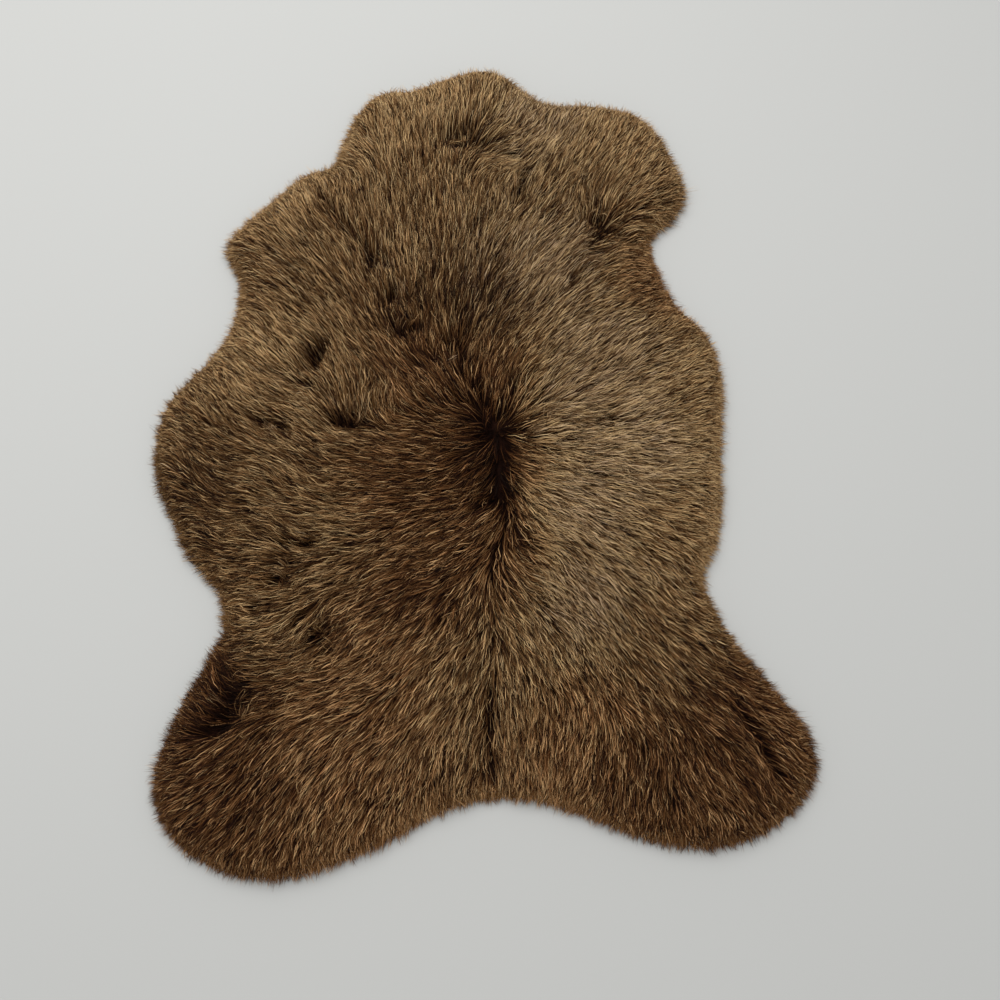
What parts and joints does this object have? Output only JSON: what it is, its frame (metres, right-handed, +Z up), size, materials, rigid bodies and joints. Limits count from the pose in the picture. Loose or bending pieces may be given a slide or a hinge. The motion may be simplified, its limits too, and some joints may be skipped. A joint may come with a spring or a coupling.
{
  "type": "sheepskin rug",
  "caption": "Brown sheepskin with long combed wool, cut to the animal's shape and lying flat on its tanned hide.",
  "frame": {"origin": "on the floor, under the middle of the skin's footprint, locks at the rim included", "axes": "+Z up out of the floor, +Y along the back from the tail to the neck, +X across the back to the right as seen from above"},
  "size_m": [0.746, 1.0012, 0.0467],
  "materials": {
    "tanned_skin": "undyed tanned flesh side, dry and suede-like",
    "brown_wool": "natural brown wool in long wavy locks, paler at the tips and nearly black at the roots"
  },
  "bodies": {
    "root": {"hide": "tanned_skin", "fleece": "brown_wool"}
  },
  "joints": []
}
